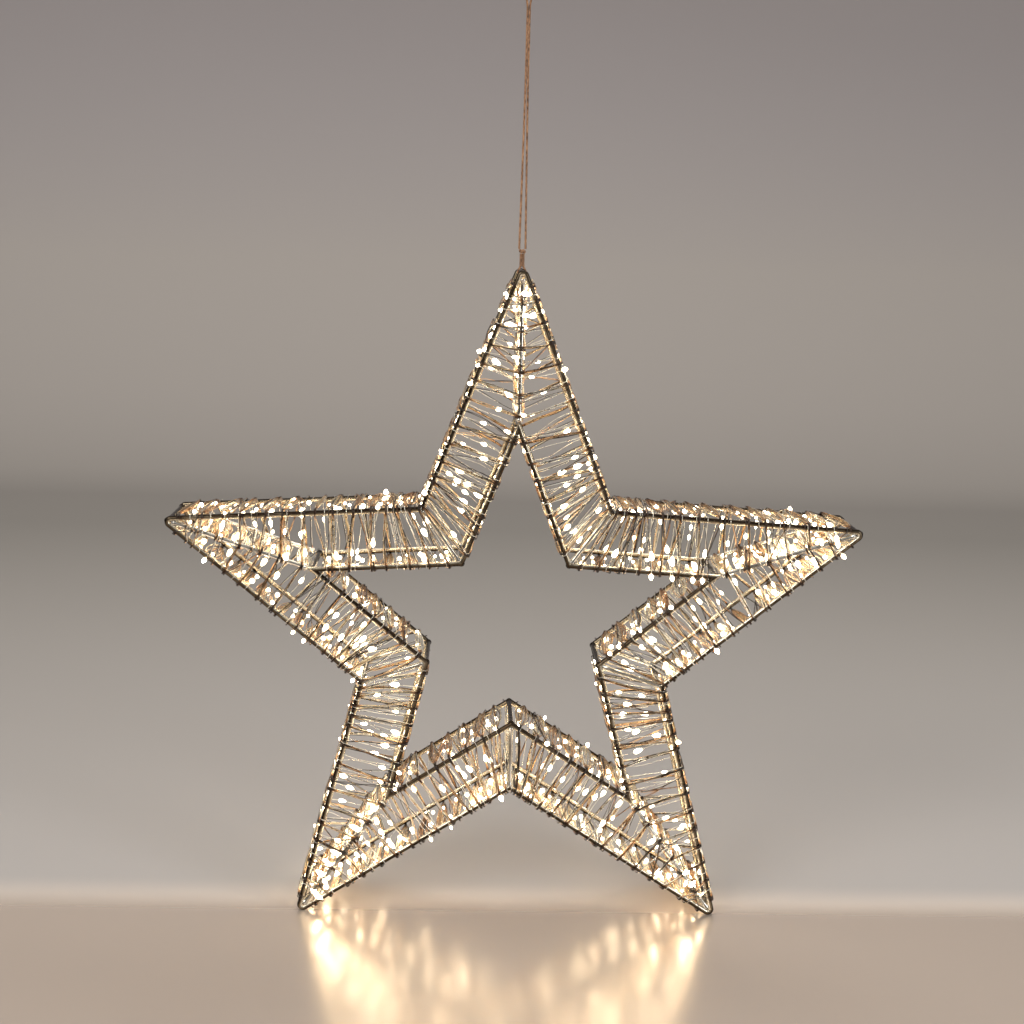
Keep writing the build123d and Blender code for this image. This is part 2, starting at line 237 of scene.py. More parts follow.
rodFinishAndShade = {  # stops run from painted shade on the far side of each rod to a painted highlight on the side by the lights
    "stops": [(0.3, (0.03, 0.02, 0.012)), (0.5, (0.21, 0.17, 0.115)), (0.75, (0.76, 0.70, 0.58))],
    "roughness": (0.16, 0.34),
    "scale": 60.0,
    "paintedLightShare": 0.62,  # how much of the colour the tone attribute decides; on the rods that attribute is painted light and shade
}
strutFinish = {
    "stops": [(0.3, (0.26, 0.24, 0.21)), (0.5, (0.52, 0.50, 0.45)), (0.75, (0.80, 0.78, 0.72))],
    "roughness": (0.12, 0.28),
    "scale": 70.0,
    "paintedLightShare": 0.0,
}
pits = {"roughScale": 2.3, "roughFrom": 0.35, "roughTo": 0.7, "scale": 12, "strength": 0.15, "depth": 0.0002}


def metalMaterial(name, finish):
    # Plated metal: colour and roughness drift over the surface, with fine pits. The tone attribute, which on the
    # rods paints light and shade, has the finish's share of the say in the colour, and the drift has the rest.
    # Pieces without it, such as the spacers, read 0 and take the dark, painted-shade end of the stops all over.
    material, nodes, links, shader = newMaterial(name)
    shader.inputs["Metallic"].default_value = 1.0
    scale = finish["scale"]
    wear = noise(nodes, links, scale)
    if finish["paintedLightShare"]:
        tone = toneOf(nodes)
        blend = nodes.new("ShaderNodeMix")
        blend.inputs["Factor"].default_value = finish["paintedLightShare"]
        links.new(wear, blend.inputs["A"])
        links.new(tone, blend.inputs["B"])
        wear = blend.outputs["Result"]
    links.new(ramp(nodes, links, wear, finish["stops"]), shader.inputs["Base Color"])
    low, high = finish["roughness"]
    drift = noise(nodes, links, scale * pits["roughScale"])
    rough = ramp(nodes, links, drift, [(pits["roughFrom"], low), (pits["roughTo"], high)])
    links.new(rough, shader.inputs["Roughness"])
    bump(nodes, links, shader, noise(nodes, links, scale * pits["scale"]), pits["strength"], pits["depth"])
    return material


rodMetal = metalMaterial("rodMetal", rodFinishAndShade)
strutMetal = metalMaterial("strutMetal", strutFinish)

wireFinish = {  # from black enamel over copper and gold to silver
    "stops": [
        (0.0, (0.012, 0.009, 0.008)),
        (0.2, (0.05, 0.022, 0.01)),
        (0.32, (0.38, 0.18, 0.07)),
        (0.5, (0.86, 0.53, 0.27)),
        (0.7, (0.95, 0.78, 0.50)),
        (0.85, (0.97, 0.90, 0.74)),
        (1.0, (0.92, 0.91, 0.87)),
    ],
    "metallic": [(0.1, 0.1), (0.3, 1.0)],
    "roughness": [(0.3, 0.2), (0.7, 0.4)],
    "scale": 300.0,
}


def wireMaterial():
    # Fine wire: the tone attribute picks the metal of each strand.
    material, nodes, links, shader = newMaterial("fineWire")
    tone = toneOf(nodes)
    links.new(ramp(nodes, links, tone, wireFinish["stops"]), shader.inputs["Base Color"])
    links.new(ramp(nodes, links, tone, wireFinish["metallic"]), shader.inputs["Metallic"])
    rough = ramp(nodes, links, noise(nodes, links, wireFinish["scale"]), wireFinish["roughness"])
    links.new(rough, shader.inputs["Roughness"])
    return material


fineWire = wireMaterial()

resin = {
    "color": (1.0, 0.9, 0.72, 1.0),
    "roughness": 0.12,
    "coat": 0.6,
    "glow": [(0.3, (1.0, 0.80, 0.52)), (0.7, (1.0, 0.90, 0.70))],
    "glowScale": 180.0,
    "power": 16.0,
}


def beadMaterial():
    # Clear resin drop over a lit chip: warm white, a little uneven.
    material, nodes, links, shader = newMaterial("litBead")
    shader.inputs["Base Color"].default_value = resin["color"]
    shader.inputs["Roughness"].default_value = resin["roughness"]
    shader.inputs["Coat Weight"].default_value = resin["coat"]
    glow = ramp(nodes, links, noise(nodes, links, resin["glowScale"]), resin["glow"])
    links.new(glow, shader.inputs["Emission Color"])
    shader.inputs["Emission Strength"].default_value = resin["power"]
    return material


litBead = beadMaterial()

fibre = {"sheen": 0.25, "detail": 4.0, "stretch": (1, 1, 0.35), "strength": 0.5, "depth": 0.0003}


def fibreMaterial(name, stops, scale, roughness):
    # Waxed fibre or moulded plastic: noise drawn out along the height colours and roughens it.
    material, nodes, links, shader = newMaterial(name)
    shader.inputs["Roughness"].default_value = roughness
    shader.inputs["Sheen Weight"].default_value = fibre["sheen"]
    strand = noise(nodes, links, scale, fibre["detail"], fibre["stretch"])
    links.new(ramp(nodes, links, strand, stops), shader.inputs["Base Color"])
    bump(nodes, links, shader, strand, fibre["strength"], fibre["depth"])
    return material


cordStops = [(0.3, (0.05, 0.022, 0.01)), (0.5, (0.26, 0.13, 0.06)), (0.75, (0.50, 0.29, 0.16))]
cordFibre = fibreMaterial("cordFibre", cordStops, 900.0, 0.75)
print("materials made")


cord = {
    "diameter": 0.0018,
    "length": 0.455,
    "route": [
        (-0.0026, 0, -0.222549),
        (-0.0009, 0, -0.104),
        (-0.0009, 0, -0.038),
        (-0.0009, 0, -0.026),
        (-0.0059, 0, -0.014),
        (-0.0059, 0, 0.0009),
        (0.0059, 0, 0.0009),
        (0.0059, 0, -0.014),
        (0.0009, 0, -0.026),
        (0.0009, 0, -0.038),
        (0.0009, 0, -0.104),
        (0.0026, 0, -0.222549),
    ],
    "bevelSteps": 3,
    "curveSteps": 24,
}


def makeCord():
    # One length of cord up from the knot, over the hook and down again, as a bevelled NURBS curve.
    curve = bpy.data.curves.new("hangingCord", "CURVE")
    curve.dimensions = "3D"
    curve.bevel_depth = cord["diameter"] / 2
    curve.bevel_resolution = cord["bevelSteps"]
    curve.resolution_u = cord["curveSteps"]
    curve.use_fill_caps = True
    spline = curve.splines.new("NURBS")
    spline.points.add(len(cord["route"]) - 1)
    for point, place in zip(spline.points, cord["route"]):
        point.co = (*place, 1.0)
    spline.order_u = 3
    spline.use_endpoint_u = True
    obj = bpy.data.objects.new("hangingCord", curve)
    bpy.context.scene.collection.objects.link(obj)
    obj.data.materials.append(cordFibre)
    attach(obj, "hanger")
    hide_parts("hanging_cord")


makeCord()
print("cord hung")


rod = {
    "radius": 0.00225,
    "tipBend": 0.003,
    "bendSteps": 9,
    "sides": 18,
    "litTurn": 0.2,  # radians by which the painted bright side turns from the band's plane
}
strut = {
    "radius": 0.002,
    "weld": 0.0009,
    "weldLength": 0.0016,
    "sink": 0.0012,  # how far a bar's end goes into the rod
    "sides": 16,
    "rings": [0, 0.0008, 0.0016, 0.0024, 0.0034, 0.005, 0.008],  # from each end
}


def ringPath(tip, notch, tipBend):
    # Closed outline: sharp notches, and tips that are sharp or an arc tangent to both edges. Gives the points
    # and which of them are sharp corners.
    path, sharp = [], []
    for index in range(2 * len(star["arms"])):
        direction = index * halfStep
        if index % 2 or not tipBend:
            radius = notch if index % 2 else tip
            path.append([[-radius * math.sin(direction), 0, radius * math.cos(direction)]])
            sharp.append([True])
            continue
        centre = tip - tipBend / math.sin(tipHalf)
        sweep = direction + (math.pi / 2 - tipHalf) * np.linspace(-1, 1, rod["bendSteps"])
        x = -centre * math.sin(direction) - tipBend * np.sin(sweep)
        z = centre * math.cos(direction) + tipBend * np.cos(sweep)
        path.append(np.stack([x, np.zeros_like(x), z], axis=-1))
        sharp.append([False] * len(x))
    return np.concatenate(path), np.concatenate(sharp)


def makeRing(node, tip, notch, tipBend, y, toCentre):
    # A rod bent along the outline. Its tone is 0.5 + 0.5 sin(angle from the band's plane), which paints a highlight
    # on the side by the band and the lights, and shade on the far side. toCentre is 1 where the band lies towards
    # the star's centre, -1 where it lies away.
    path, sharp = ringPath(tip, notch, tipBend)
    path = path + (0, y, -star["hangHeight"])
    shape = tubes(path[None], rod["radius"], (0, 1, 0), rod["sides"], closed=True, mitred=True)
    angle = np.linspace(0, 2 * math.pi, rod["sides"], endpoint=False)
    # painted light and shade round the rod: bright towards the band, dark on the far side
    inward = toCentre * np.sin(angle + toCentre * np.sign(-y) * rod["litTurn"])
    obj = addPiece(node + "_rod", *shape, rodMetal, tone=np.tile(0.5 + 0.5 * inward, len(path)))
    ends = np.empty(2 * len(obj.data.edges), dtype=np.int32)
    obj.data.edges.foreach_get("vertices", ends)
    rows = ends.reshape(-1, 2) // rod["sides"]
    obj.data.edges.foreach_set("use_edge_sharp", (rows[:, 0] == rows[:, 1]) & sharp[rows[:, 0]])
    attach(obj, "star")
    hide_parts(node)


for face in ("front", "back"):
    makeRing(face + "_outer_star", star["tipRadius"], star["notchRadius"], rod["tipBend"], star[face + "Y"], 1)
    makeRing(face + "_inner_star", innerTip, innerNotch, 0, star[face + "Y"], -1)
print("star rings bent")


def makeBars(node, starts, ends, side, material):
    # Straight rods whose radius grows by weld exp(-distance / weldLength) at each end.
    starts, ends = np.asarray(starts, float), np.asarray(ends, float)
    reach = unit(ends - starts) * strut["sink"]
    starts, ends = starts - reach, ends + reach
    length = np.linalg.norm(ends - starts, axis=-1)[:, None]
    near = np.array(strut["rings"])
    place = np.concatenate([np.tile(near, (len(starts), 1)), length - near[::-1]], axis=1)
    fromEnd = np.minimum(place, length - place)
    past = np.maximum(fromEnd - strut["sink"], 0)
    radius = strut["radius"] + strut["weld"] * np.exp(-past / strut["weldLength"])
    paths = starts[:, None] + (ends - starts)[:, None] * (place / length)[..., None]
    obj = addPiece(node + "_bars", *tubes(paths, radius, side, strut["sides"]), material)
    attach(obj, "star")
    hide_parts(node)


def spots(radius, y, atNotch=False, arms=allArms):
    # The same point on each of the arms, or in each of the notches.
    angle = halfStep if atNotch else 0
    point = (radius * math.sin(angle), y, radius * math.cos(angle))
    return np.array([onArm(point, index) for index in arms])


notchHalf = halfStep + tipHalf
tipApex = star["tipRadius"] - rod["tipBend"] * (1 / math.sin(tipHalf) - 1)
tipFork = (rod["radius"] + strut["radius"] * math.cos(tipHalf)) / math.sin(tipHalf)
notchFork = (rod["radius"] + strut["radius"] * math.cos(notchHalf)) / math.sin(notchHalf)
for face in ("front", "back"):
    y = star[face + "Y"]
    peak = innerTip + rod["radius"] / math.sin(tipHalf)
    makeBars(face + "_tip_struts", spots(peak, y), spots(star["tipRadius"] - tipFork, y), (0, 1, 0), strutMetal)
    hollow = star["notchRadius"] - rod["radius"] / math.sin(notchHalf)
    makeBars(
        face + "_notch_struts", spots(innerNotch + notchFork, y, True), spots(hollow, y, True), (0, 1, 0), strutMetal
    )
frontEnd, backEnd = star["frontY"] + rod["radius"], star["backY"] - rod["radius"]
for node, radius, atNotch, arms in (
    ("top_tip_spacer", tipApex, False, (0,)),
    ("outer_tip_spacers", tipApex, False, (1, 2, 3, 4)),
    ("inner_tip_spacers", innerTip, False, allArms),
    ("outer_notch_spacers", star["notchRadius"], True, allArms),
    ("inner_notch_spacers", innerNotch, True, allArms),
):
    makeBars(
        node, spots(radius, frontEnd, atNotch, arms), spots(radius, backEnd, atNotch, arms), (0, 0, 1), rodMetal
    )
print("struts and spacers welded in")


winding = {
    "arcSteps": 5,  # points of a strand on a rod
    "runSteps": 6,  # and between two rods
    "sides": 4,
    "tipStart": 0.016,
    "tipEnd": 0.118,
    "limbStart": 0.0035,
    "limbEnd": 0.119,
    "fanFrom": 0.058,  # beyond this the wires close up towards the outer notch
    "fanTo": 0.0895,
    "spreadRange": (0.5, 1.4),  # how much one stretch spreads against another
    "strandBow": 0.25,  # share of a bundle's bow by which its strands differ
    "darkTone": 0.1,  # tone of a dark strand, against a bright one
    "onRodDarkening": 0.2,  # the wire's tone is cut to this share where it wraps over a rod
    "swell": 1.2,  # how much fuller a strand is in the middle of a wall, where its bundle opens
    "jitter": 0.00012,  # unevenness of strands laid side by side
    "longRun": 0.05,  # a stretch of this length or more bows and spreads in full
}


def windingRods(zone, side):
    # The four rods of a winding as arrays: start, along, out, away and fold angles, from the centre.
    sin, cos = math.sin(tipHalf), math.cos(tipHalf)
    edgeAlong, edgeOut = (side * sin, 0, -cos), (side * cos, 0, sin)
    front, back = star["frontY"], star["backY"]
    if zone == "tip":
        start = [(0, front, star["tipRadius"]), (0, back, star["tipRadius"])]
        start += [(0, back, star["tipRadius"]), (0, front, star["tipRadius"])]
        along = [edgeAlong, edgeAlong, (0, 0, -1), (0, 0, -1)]
        out = [edgeOut, edgeOut, (-side, 0, 0), (-side, 0, 0)]
    else:
        start = [(0, front, star["tipRadius"]), (0, back, star["tipRadius"])]
        start += [(0, back, innerTip), (0, front, innerTip)]
        along = [edgeAlong] * 4
        inward = tuple(-value for value in edgeOut)
        out = [edgeOut, edgeOut, inward, inward]
    away = [(0, -1, 0), (0, 1, 0), (0, 1, 0), (0, -1, 0)]
    fold = [(90, 0), (0, 90), (90, 0), (0, 90)]
    return [np.array(value, float) for value in (start, along, out, away, fold)]


def stations(zone, share):
    # Place along each of the four rods, for each share of the winding: outer, outer, far, far.
    if zone == "tip":
        outer = winding["tipStart"] + (winding["tipEnd"] - winding["tipStart"]) * share
        far = outer / math.cos(tipHalf)
    else:
        far = winding["limbStart"] + (winding["limbEnd"] - winding["limbStart"]) * share
        knots = [winding["limbStart"], winding["fanFrom"], winding["limbEnd"]]
        outer = footLength + np.interp(far, knots, [winding["limbStart"], winding["fanFrom"], winding["fanTo"]])
    return outer, far


# A spread is the distance between neighbours in the middle of a stretch, on a face or on a wall. darkShare
# says how many of the strands are dark, on a wall and on a face.
layers = {
    "ribbon": {
        "strands": 20, "columns": 4, "spacing": 0.00034, "radius": 0.00018, "pitch": 0.0165, "lift": 0.0001,
        "drift": 0.0013, "bow": 0.0010, "sway": 0.0004, "puff": 0.0005, "faceSpread": 0.00004,
        "wallSpread": 0.00068, "tone": [0.70], "patchSpread": 0.14, "strandSpread": 0.17, "darkShare": (0.08, 0.4),
    },
    "cross": {
        "strands": 4, "columns": 2, "spacing": 0.00040, "radius": 0.00020, "pitch": 0.0420, "lift": 0.0012,
        "drift": 0.0013, "bow": 0.0013, "sway": 0.0008, "puff": 0.0006, "faceSpread": 0.0001,
        "wallSpread": 0.0024, "tone": [0.5], "patchSpread": 0.12, "strandSpread": 0.12, "darkShare": (0.1, 0.5),
        "reverse": True,
    },
    # a silver strand with a black strand beside it, the black one being the silver wire's painted shadow side
    "shadowPair": {
        "strands": 2, "columns": 2, "spacing": 0.00050, "radius": 0.00025, "pitch": 0.0230, "lift": 0.0012,
        "drift": 0.0022, "bow": 0.0012, "sway": 0.0003, "puff": 0.0004, "faceSpread": 0.0001,
        "wallSpread": 0.0004, "tone": [0.03, 0.97], "patchSpread": 0.02, "strandSpread": 0.02, "darkShare": (0, 0),
        "begin": 2,
    },
}


def strandTones(layer, onWall):
    # Tone of each point of each strand: its layer's own, plus chance for the stretch and for the strand. Some
    # are dark, and all are darker where they wrap over the rods.
    strands, steps = layer["strands"], len(onWall)
    tone = np.reshape(layer["tone"], (-1, 1)) + rng.normal(0, layer["patchSpread"], (1, steps))
    tone = np.clip(tone + rng.normal(0, layer["strandSpread"], (strands, steps)), 0, 1)
    dark = np.where(onWall, *layer["darkShare"])
    tone = np.where(rng.random((strands, steps)) < dark, winding["darkTone"] * tone, tone)
    tone = np.repeat(tone[..., None], winding["arcSteps"] + winding["runSteps"], axis=2)
    # darker on the rods: the tone of each crossing is cut to the given share
    tone[..., : winding["arcSteps"]] *= winding["onRodDarkening"]
    last = tone[:, -1, : winding["arcSteps"]]
    return np.concatenate([tone.reshape(strands, -1), last], axis=1)


def strandSwell(onWall, v, full):
    # Thickness at each point of a strand, in radii: 1 on rods and faces, and 1 + swell 4v(1-v) across a wall.
    swell = np.ones((len(onWall), winding["arcSteps"] + winding["runSteps"]))
    opened = winding["swell"] * onWall[:, None] * (4 * v * (1 - v)).reshape(1, -1)
    swell[:, winding["arcSteps"] :] += opened * full[0, :, :, 0]
    return np.concatenate([swell.ravel(), np.ones(winding["arcSteps"])])


def woundPaths(zone, side, turns, layer):
    # Paths of strands wound round four rods. On a rod: start + along station + reach (out cos a + away sin a).
    # Between rods: a straight line, plus 4v(1-v) of bow and fan, so that a bundle opens like a leaf, plus
    # sin(2 pi v) of sway. Also gives the tones and the thickness.
    start, along, out, away, fold = windingRods(zone, side)
    strands, steps = layer["strands"], int(turns * 4)
    step = np.arange(steps + 1)
    corner = (step + layer.get("begin", 0)) % 4
    share = step / steps
    if layer.get("reverse"):
        share = 1 - share
    outer, far = stations(zone, share)
    station = np.where(corner < 2, outer, far) + rng.normal(0, layer["drift"], steps + 1)
    order, rows = np.arange(strands), strands // layer["columns"]
    column = order % layer["columns"] - (layer["columns"] - 1) / 2
    row = order // layer["columns"]
    tight = column[:, None] * layer["spacing"] + rng.normal(0, winding["jitter"], (strands, steps + 1))
    place = station[None, :] + tight
    turning = (fold[corner, 1] - fold[corner, 0])[:, None] * np.linspace(0, 1, winding["arcSteps"])
    angle = np.radians(fold[corner, 0][:, None] + turning)
    rodRadius = np.where((corner >= 2) & (zone == "tip"), strut["radius"], rod["radius"])
    reach = rodRadius[None, :] + layer["lift"] + layer["radius"] * (1 + 2 * row[:, None])
    onRod = start[corner][None] + along[corner][None] * place[..., None]
    around = out[corner][:, None, :] * np.cos(angle)[..., None] + away[corner][:, None, :] * np.sin(angle)[..., None]
    arcs = onRod[:, :, None, :] + reach[:, :, None, None] * around[None]
    v = (np.arange(1, winding["runSteps"] + 1) / (winding["runSteps"] + 1))[None, None, :, None]
    runStart, runEnd = arcs[:, :-1, -1:, :], arcs[:, 1:, :1, :]
    onWall = corner[:-1] % 2 == 0
    spread = np.where(onWall, layer["wallSpread"], layer["faceSpread"]) * rng.uniform(*winding["spreadRange"], steps)
    fan = rng.permuted(np.tile(column * rows + row - (rows - 1) / 2, (steps, 1)), axis=1).T
    bows = rng.normal(0, layer["bow"], (1, steps)) + fan * spread
    bows = (bows + rng.normal(0, layer["bow"] * winding["strandBow"], (strands, steps)))[:, :, None, None]
    sway = rng.normal(0, layer["sway"], (strands, steps))[:, :, None, None]
    puff = layer["puff"] * np.abs(rng.normal(0, 1, (strands, steps)))[:, :, None, None]
    lean = along[corner[:-1]][None, :, None, :]
    outward = np.where(onWall[:, None], out[corner[:-1]], away[corner[:-1]])[None, :, None, :]
    length = np.linalg.norm(runEnd - runStart, axis=-1, keepdims=True)
    full = np.clip(length / winding["longRun"], 0, 1)
    runs = runStart + (runEnd - runStart) * v
    runs = runs + full * ((lean * bows + outward * puff) * 4 * v * (1 - v) + lean * sway * np.sin(2 * math.pi * v))
    body = np.concatenate([arcs[:, :-1], runs], axis=2).reshape(strands, -1, 3)
    paths = np.concatenate([body, arcs[:, -1]], axis=1)
    return paths, strandTones(layer, onWall), strandSwell(onWall, v, full)


def strandSet(zone, side, layer):
    # Turns are (end - start) / pitch, rounded, and at least two.
    reach = winding[zone + "End"] - winding[zone + "Start"]
    return woundPaths(zone, side, max(2, round(reach / layer["pitch"])), layer)


windingParts = {  # which rods a winding goes round, and the sides of the arm it covers
    "tip": ("tip", (-1, 1)),
    "left_limb": ("limb", (-1,)),
    "right_limb": ("limb", (1,)),
}


def armAxis(index):
    # The direction from the star's centre to a tip.
    return onArm((0, 0, 1), index) - onArm((0, 0, 0), index)


def makeWinding(arm, index, place):
    # All the strands of one winding as one mesh, each with its own tones.
    zone, halves = windingParts[place]
    shapes, tones = [], []
    along = armAxis(index)
    for side in halves:
        for layer in layers.values():
            paths, tone, swell = strandSet(zone, side, layer)
            shapes.append(tubes(onArm(paths, index), layer["radius"] * swell, along, winding["sides"]))
            tones.append(np.repeat(tone, winding["sides"], axis=1).ravel())
    obj = addPiece(f"{arm}_{place}_wires", *joined(*shapes), fineWire, tone=np.concatenate(tones))
    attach(obj, "star")
    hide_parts(f"{arm}_{place}_winding")


bead = {
    "length": 0.0066,
    "width": 0.0046,
    "segments": 8,
    "rings": 5,
    "point": 0.35,  # how much slimmer one end is
    "size": (0.48, 0.93),
    "onRod": 0.09,  # share of the rod crossings that carry a drop, which stands out from the rod
    "onWall": (0.95, 0.8),  # shares of the stretches across a wall that carry a first and a second drop
    "onFace": (0.5, 0.16),
    "faceStretch": 1.4,  # on the faces the drops are longer
    "places": ((0.15, 0.45), (0.55, 0.85)),  # where on a stretch the first and the second drop may lie
    "aim": 0.2,  # steps ahead on the wire to which a drop points
    "standOff": 0.4,  # lengths between a rod's crossing and the middle of its drop
}
lightWire = {
    "strands": 1, "columns": 1, "spacing": 0.0, "radius": 0.00025, "pitch": 0.0120, "lift": 0.0004,
    "drift": 0.0022, "bow": 0.0016, "sway": 0.0006, "puff": -0.0022, "faceSpread": 0.0, "wallSpread": 0.0,
    "tone": [0.95], "patchSpread": 0.01, "strandSpread": 0.01, "darkShare": (0, 0), "begin": 1,
}


def beadShape(centres, along, outward, stretch):
    # Drops: half length cos t along the axis, half width sin t (1 - point cos t) round it.
    t = np.linspace(0, math.pi, bead["rings"] + 2)[1:-1]
    a = np.linspace(0, 2 * math.pi, bead["segments"], endpoint=False)
    across = np.cross(along, outward)
    lengthwise = (bead["length"] / 2 * np.cos(t))[:, None] * np.ones_like(a)
    width = (bead["width"] / 2 * np.sin(t) * (1 - bead["point"] * np.cos(t)))[:, None]
    local = np.stack([lengthwise, width * np.cos(a), width * np.sin(a)], axis=-1).reshape(-1, 3)
    poles = np.array([[bead["length"] / 2, 0, 0], [-bead["length"] / 2, 0, 0]])
    local = np.concatenate([local, poles])
    size = rng.uniform(*bead["size"], (len(centres), 1, 1))
    plain = np.ones_like(stretch)
    stretched = local[None] * np.stack([stretch, plain, plain], axis=-1)[:, None, :]
    axes = np.stack([along, across, outward], axis=1)
    points = centres[:, None, :] + size * (stretched @ axes)
    segments, rings = bead["segments"], bead["rings"]
    ring = np.arange(rings - 1)[:, None]
    turn = np.arange(segments)[None, :]
    after = (turn + 1) % segments
    row, nextRow = ring * segments, (ring + 1) * segments
    quads = np.stack([row + turn, nextRow + turn, nextRow + after, row + after], axis=-1).reshape(-1)
    first = rings * segments
    turn = np.arange(segments)
    after = (turn + 1) % segments
    top = np.stack([np.full(segments, first), turn, after], axis=-1).reshape(-1)
    base = (rings - 1) * segments
    bottom = np.stack([np.full(segments, first + 1), base + after, base + turn], axis=-1).reshape(-1)
    corners = np.concatenate([quads, top, bottom])
    shift = np.arange(len(centres))[:, None] * (first + 2)
    sizes = np.concatenate([np.full(len(quads) // 4, 4), np.full(2 * segments, 3)])
    return points.reshape(-1, 3), (corners[None] + shift).ravel(), np.tile(sizes, len(centres))


def pathAt(path, at):
    # Places between the points of a path, on straight lines.
    points = np.arange(len(path))
    return np.stack([np.interp(at, points, path[:, axis]) for axis in range(3)], axis=-1)


def dropsOn(path, along):
    # Drops on a light wire: lying along it on the stretches, and standing out from the rods where it crosses.
    arcSteps, runSteps = winding["arcSteps"], winding["runSteps"]
    period = arcSteps + runSteps
    steps = (len(path) - arcSteps) // period
    step = np.arange(steps)
    onWall = (step + lightWire["begin"]) % 2 == 0
    at, stretch = [], []
    for turn, (low, high) in enumerate(bead["places"]):
        shares = np.where(onWall, bead["onWall"][turn], bead["onFace"][turn])
        chosen = rng.random(steps) < shares
        place = step * period + arcSteps - 1 + rng.uniform(low, high, steps) * (runSteps + 1)
        at.append(place[chosen])
        stretch.append(np.where(onWall, 1.0, bead["faceStretch"])[chosen])
    at, stretch = np.concatenate(at), np.concatenate(stretch)
    centres = pathAt(path, at)
    direction = unit(pathAt(path, at + bead["aim"]) - centres)
    lying = beadShape(centres, direction, unit(np.cross(direction, along)), stretch)
    crossing = step[rng.random(steps) < bead["onRod"]] * period
    middle, first, last = path[crossing + arcSteps // 2], path[crossing], path[crossing + arcSteps - 1]
    outward = unit(2 * middle - first - last)
    centres = middle + outward * bead["length"] * bead["standOff"]
    standing = beadShape(centres, outward, unit(np.cross(outward, along)), np.ones(len(crossing)))
    return joined(lying, standing)


def makeLights(arm, index, place):
    # The silver wire of the light string, and its drops.
    zone, halves = windingParts[place]
    wires, drops = [], []
    along = armAxis(index)
    for side in halves:
        path = onArm(strandSet(zone, side, lightWire)[0], index)[0]
        wires.append(tubes(path[None], lightWire["radius"], along, winding["sides"]))
        drops.append(dropsOn(path, along))
    wire = joined(*wires)
    silver = np.full(len(wire[0]), lightWire["tone"][0])
    wireObj = addPiece(f"{arm}_{place}_lightWire", *wire, fineWire, tone=silver)
    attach(wireObj, "star")
    obj = addPiece(f"{arm}_{place}_beads", *joined(*drops), litBead)
    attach(obj, "star")
    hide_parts(f"{arm}_{place}_lights")


for index, arm in enumerate(star["arms"]):
    for place in windingParts:
        makeWinding(arm, index, place)
        makeLights(arm, index, place)
print("windings wound and lights strung")


tie = {
    "cordRadius": 0.0009,
    "clearance": 0.0003,
    "wrapAngle": 25,  # the loop leaves the spacer this far above its middle
    "neckFrom": 0.0046,  # above the spacer's axis
    "neckTo": 0.0150,
    "neckRadius": 0.0013,
    "legX": [0.0007, 0.0009, 0.0014],  # half distance of the legs, from the top of the neck down
    "legDrops": [0.002, -0.0006],  # heights of the lower two above the neck's foot
    "legTop": 0.0006,  # below the neck's top
    "loopSteps": 25,
    "loopSides": 12,
    "whipRadius": 0.0004,
    "whipTurns": 11,
    "whipSteps": 12,  # in a turn
    "whipSides": 8,
    "whipWiden": 1.12,  # the neck is wider across than deep
    "knotMiddle": 0.0170,
    "knotRadius": 0.00085,
    "knotScale": (0.00078, 0.00078, 0.0009),
    "knotSteps": 90,
    "knotSides": 10,
}
spacerZ = tipApex - star["hangHeight"]


def makeTie():
    # A loop of cord hanging on the spacer, its legs drawn together, and a helix of thread round both.
    reach = strut["radius"] + tie["clearance"] + tie["cordRadius"]
    wrap = math.radians(tie["wrapAngle"])
    turn = np.linspace(math.pi - wrap, 2 * math.pi + wrap, tie["loopSteps"])
    x, z = reach * np.cos(turn), reach * np.sin(turn)
    legX = np.array(tie["legX"])
    legZ = np.array([tie["neckTo"] - tie["legTop"]] + [tie["neckFrom"] + drop for drop in tie["legDrops"]])
    x = np.concatenate([-legX, x, legX[::-1]])
    z = np.concatenate([legZ, z, legZ[::-1]])
    loop = np.stack([x, np.zeros_like(x), z + spacerZ], axis=-1)
    shape = tubes(loop[None], tie["cordRadius"], (0, 1, 0), tie["loopSides"])
    t = np.linspace(0, 1, tie["whipSteps"] * tie["whipTurns"])
    angle = 2 * math.pi * tie["whipTurns"] * t
    around = tie["neckRadius"] + tie["whipRadius"]
    height = spacerZ + tie["neckFrom"] + (tie["neckTo"] - tie["neckFrom"]) * t
    helix = np.stack([around * tie["whipWiden"] * np.cos(angle), around * np.sin(angle), height], axis=-1)
    whip = tubes(helix[None], tie["whipRadius"], (0, 0, 1), tie["whipSides"])
    obj = addPiece("tieLoop", *joined(shape, whip), cordFibre)
    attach(obj, "tie")
    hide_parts("tie_loop")


def makeKnot():
    # A drawn trefoil: (sin t + 2 sin 2t, cos t - 2 cos 2t, -sin 3t), squeezed to the knot's size.
    t = np.linspace(0, 2 * math.pi, tie["knotSteps"], endpoint=False)
    path = np.stack([np.sin(t) + 2 * np.sin(2 * t), np.cos(t) - 2 * np.cos(2 * t), -np.sin(3 * t)], axis=-1)
    path = path * tie["knotScale"] + (0, 0, spacerZ + tie["knotMiddle"])
    core = tubes(path[None], tie["knotRadius"], (0, 0, 1), tie["knotSides"], closed=True)
    obj = addPiece("cordKnot", *core, cordFibre)
    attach(obj, "hanger")
    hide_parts("cord_knot")


makeTie()
makeKnot()
print("tie and knot made")


def dress(node, material):
    # A CAD piece that keeps its own mesh gets its material here.
    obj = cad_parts[node]
    for place in obj.material_slots:
        place.material = material
    if not obj.material_slots:
        obj.data.materials.append(material)


sleevePlastic = fibreMaterial("sleevePlastic", [(0.3, (0.52, 0.50, 0.46)), (0.7, (0.66, 0.64, 0.60))], 200.0, 0.35)
bandNylon = fibreMaterial("bandNylon", [(0.3, (0.70, 0.69, 0.66)), (0.7, (0.80, 0.79, 0.76))], 300.0, 0.4)
dress("splice_sleeve", sleevePlastic)
dress("sleeve_tie", bandNylon)
print("frame dressed")


